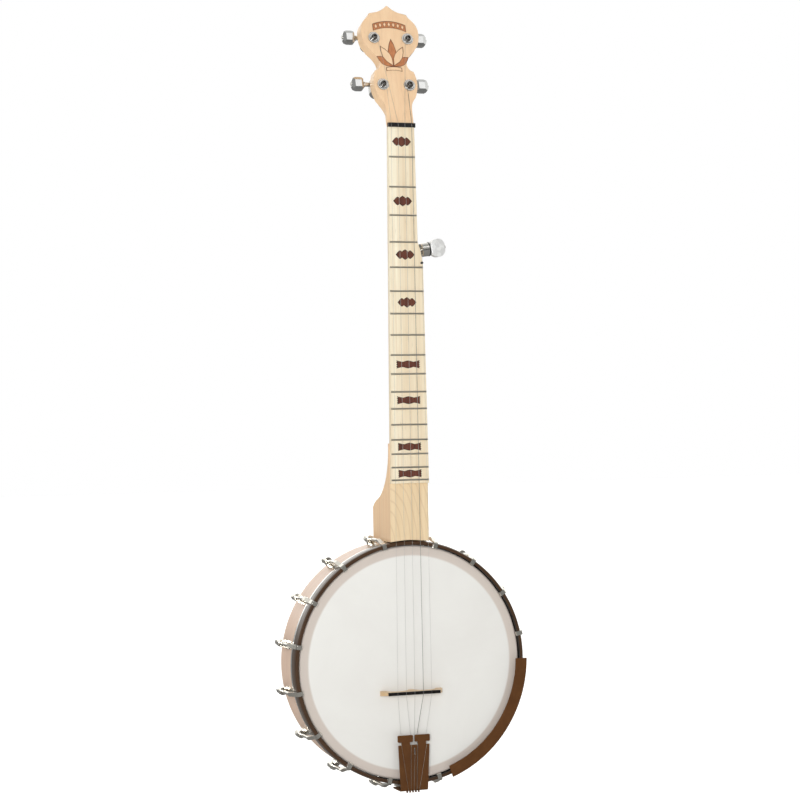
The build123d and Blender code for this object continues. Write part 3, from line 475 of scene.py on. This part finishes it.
def marker(number):
    """Marker in the space above a fret: lobed on the upper board, a bow on the lower."""
    upper = fret_place(number - 1) + (NUT_EDGE if number == 1 else 0)
    middle_z = -(upper + fret_place(number)) / 2
    middle_x = -0.0031 if number < 5 else (-0.0012 if number < 7 else 0.0)
    matrix = NECK @ Matrix.Translation((middle_x, 0, middle_z))
    lobed = number < FIRST_BOW
    shape = lobed_marker() if lobed else bow_marker()
    flat_piece(f"marker_{number}_edge", matrix, [shape], BURNT_DARK)
    flat_piece(f"marker_{number}_fill", matrix, [grown(shape, 0.93, 0.84)], BURNT_RED, layer=1)
    if lobed:
        lines = [[(x, 3.2), (x + 0.35, 3.2), (x + 0.35, -3.2), (x, -3.2)] for x in (-4.3, 3.95)]
        flat_piece(f"marker_{number}_lines", matrix, lines, BURNT_DARK, layer=2)


for number in MARKED_SPACES:
    marker(number)


# ------------------------------------------------------------------ plain ornament burnt into the peghead
def arc_band(x0, x1, rise, thick, steps=16):
    """A curved ribbon between x0 and x1, rising in the middle."""
    top, low = [], []
    for k in range(steps + 1):
        t = k / steps
        x = x0 + (x1 - x0) * t
        z = rise * (1 - (2 * t - 1) ** 2)
        top.append((x, z + thick / 2))
        low.append((x, z - thick / 2))
    return top + list(reversed(low))


def leaf(length, width, lean):
    """A pointed leaf from the origin, leaning to the right by lean degrees."""
    half = [(0.0, 0.0), (0.42, 0.3), (0.5, 0.55), (0.3, 0.8), (0.0, 1.0)]
    points = [(width * x, length * z) for x, z in mirrored(half)]
    cosine, sine = math.cos(math.radians(lean)), math.sin(math.radians(lean))
    return [(x * cosine + z * sine, -x * sine + z * cosine) for x, z in points]


def moved(outline, dx, dz):
    return [(x + dx, z + dz) for x, z in outline]


RIBBON_Z = 125.0              # heights above the string nut, in millimetres
LEAF_Z = 75.0
FOOT_Z = 71.0
RIBBON_HALF, RIBBON_RISE = 21.0, 4.5
LOZENGE_STEP = 5.6


def lozenge(middle_x, middle_z, half_width, half_height):
    return [(middle_x, middle_z + half_height), (middle_x + half_width, middle_z),
            (middle_x, middle_z - half_height), (middle_x - half_width, middle_z)]


def ribbon():
    """A curved band with seven lozenges along it."""
    band = moved(arc_band(-RIBBON_HALF, RIBBON_HALF, RIBBON_RISE, 9.0), 0, RIBBON_Z)
    inner_band = moved(arc_band(-20.2, 20.2, 4.4, 7.6), 0, RIBBON_Z)
    flat_piece("ribbon", PEG, [band], BURNT_LINE)
    flat_piece("ribbon_fill", PEG, [inner_band], BURNT_ORANGE, layer=1)
    edges, lozenges = [], []
    for k in range(-3, 4):
        x = k * LOZENGE_STEP
        z = RIBBON_Z + RIBBON_RISE * (1 - (x / RIBBON_HALF) ** 2)
        edges.append(lozenge(x, z, 2.2, 3.5))
        lozenges.append(lozenge(x, z, 1.6, 2.8))
    flat_piece("ribbon_lines", PEG, edges, BURNT_LINE, layer=2)
    flat_piece("ribbon_lozenges", PEG, lozenges, NECK_WOOD, layer=3)


def leaf_fan():
    """Five outlined leaves, each over the one before, on a short foot."""
    for order, (lean, length) in enumerate(((-58, 24), (58, 24), (0, 36), (-29, 30), (29, 30))):
        outline = leaf(length, 10.5, lean)
        fill = NECK_WOOD if abs(lean) == 29 else BURNT_ORANGE
        shift = 0.06 * length
        shift_x, shift_z = shift * math.sin(math.radians(lean)), shift * math.cos(math.radians(lean))
        inner = moved(grown(outline, 0.88, 0.88), shift_x, LEAF_Z + shift_z)
        name = f"leaf_{order + 1}"
        flat_piece(f"{name}_edge", PEG, [moved(outline, 0, LEAF_Z)], BURNT_LINE, layer=2 * order)
        flat_piece(f"{name}_fill", PEG, [inner], fill, layer=2 * order + 1)
    foot = arc_band(-10, 10, 1.5, 5.0, 8)
    inner_foot = moved(grown(foot, 0.92, 0.72), 0, FOOT_Z + 0.1)
    flat_piece("leaf_foot", PEG, [moved(foot, 0, FOOT_Z)], BURNT_LINE, layer=10)
    flat_piece("leaf_foot_fill", PEG, [inner_foot], NECK_WOOD, layer=11)


ribbon()
leaf_fan()


# ------------------------------------------------------------------ stage, light and camera
def floor(half, height, material):
    """The pale floor that the object stands over."""
    corners = [(-half, -half, height), (half, -half, height), (half, half, height), (-half, half, height)]
    mesh = bpy.data.meshes.new("floor")
    mesh.from_pydata(corners, [], [(0, 1, 2, 3)])
    plane = bpy.data.objects.new("floor", mesh)
    bpy.context.collection.objects.link(plane)
    mesh.materials.append(material)


def stage_white():
    """White to the camera, and a dim floor in what polished parts reflect."""
    s = Shader("studio_white", Roughness=0.9, Specular_IOR_Level=0.1)
    cloud = s.noise(s.stretched((2, 2, 2)), 1.0, 2.0, 0.5)
    path = s.nodes.new("ShaderNodeLightPath").outputs
    white = s.mix(s.ramp(cloud, (0.4, 0.0), (0.6, 1.0)), (0.86, 0.86, 0.86, 1), (0.88, 0.88, 0.88, 1))
    s.colour(s.mix(path["Is Glossy Ray"], white, (0.3, 0.3, 0.3, 1)))
    s.bsdf.inputs["Emission Color"].default_value = (1, 1, 1, 1)
    s.link(s.math("MULTIPLY", path["Is Camera Ray"], 0.6), s.bsdf.inputs["Emission Strength"])
    return s.material


FLOOR_GAP = 0.02
floor(9, CAD_BOX[0][2] - FLOOR_GAP, stage_white())


def studio_world():
    """White behind the object; its light is dimmer in front, on the left and below, as in a draped studio."""
    world = bpy.data.worlds.new("studio")
    bpy.context.scene.world = world
    world.use_nodes = True
    nodes, links = world.node_tree.nodes, world.node_tree.links
    lit = nodes["Background"]
    seen = nodes.new("ShaderNodeBackground")
    seen.inputs["Color"].default_value = (1, 1, 1, 1)
    seen.inputs["Strength"].default_value = 1.0
    place = nodes.new("ShaderNodeTexCoord").outputs["Generated"]

    def banded(direction, stops):
        """Grey value along a direction, from (place 0..1, value) stops."""
        dot = nodes.new("ShaderNodeVectorMath")
        dot.operation = "DOT_PRODUCT"
        dot.inputs[1].default_value = direction
        links.new(place, dot.inputs[0])
        half = nodes.new("ShaderNodeMapRange")
        half.inputs["From Min"].default_value = -1.0
        links.new(dot.outputs["Value"], half.inputs["Value"])
        ramp = nodes.new("ShaderNodeValToRGB")
        items = ramp.color_ramp.elements
        while len(items) < len(stops):
            items.new(0.5)
        for item, (position, value) in zip(items, stops):
            item.position = position
            item.color = (value, value, value * 0.985, 1)
        links.new(half.outputs[0], ramp.inputs["Fac"])
        return ramp.outputs["Color"]

    depth = banded((0.36, 0.93, 0.0), ((0.0, 0.2), (0.4, 0.34), (0.62, 0.8), (1.0, 1.0)))
    height_stops = ((0.0, 0.15), (0.49, 0.26), (0.55, 0.95), (0.6, 2.7), (0.85, 2.4), (1.0, 1.4))
    height = banded((0.0, 0.0, 1.0), height_stops)
    both = nodes.new("ShaderNodeMix")
    both.data_type = "RGBA"
    both.blend_type = "MULTIPLY"
    both.inputs["Factor"].default_value = 1.0
    links.new(depth, both.inputs[6])
    links.new(height, both.inputs[7])
    links.new(both.outputs[2], lit.inputs["Color"])
    lit.inputs["Strength"].default_value = 0.62
    path = nodes.new("ShaderNodeLightPath")
    mix = nodes.new("ShaderNodeMixShader")
    links.new(path.outputs["Is Camera Ray"], mix.inputs["Fac"])
    links.new(lit.outputs[0], mix.inputs[1])
    links.new(seen.outputs[0], mix.inputs[2])
    links.new(mix.outputs[0], nodes["World Output"].inputs["Surface"])


studio_world()


def area_light(name, place, target, size, power):
    """A square soft light, aimed at a point; power is in watts."""
    data = bpy.data.lights.new(name, "AREA")
    data.size = size
    data.energy = power
    lamp = bpy.data.objects.new(name, data)
    bpy.context.collection.objects.link(lamp)
    lamp.location = place
    lamp.rotation_euler = (Vector(target) - Vector(place)).to_track_quat("-Z", "Y").to_euler()


area_light("key", (-1.25, -2.55, 0.55), (0, 0, 0.2), 0.8, 37)
area_light("top", (0.9, -1.9, 2.4), (0, 0, 0.4), 1.0, 2.6)

CAMERA_PLACE = (-0.8993, -2.4979, 0.3091)
CAMERA_TURN = math.radians(-20.1)
CAMERA_ROLL = math.radians(-0.83)
camera_data = bpy.data.cameras.new("camera")
camera_data.lens = 99.2
camera_data.sensor_width = 36.0
camera = bpy.data.objects.new("camera", camera_data)
bpy.context.collection.objects.link(camera)
camera.matrix_world = (Matrix.Translation(CAMERA_PLACE) @ Matrix.Rotation(CAMERA_TURN, 4, "Z")
                       @ Matrix.Rotation(math.radians(90), 4, "X") @ Matrix.Rotation(CAMERA_ROLL, 4, "Z"))
bpy.context.scene.camera = camera
bpy.context.scene.view_settings.view_transform = "Standard"
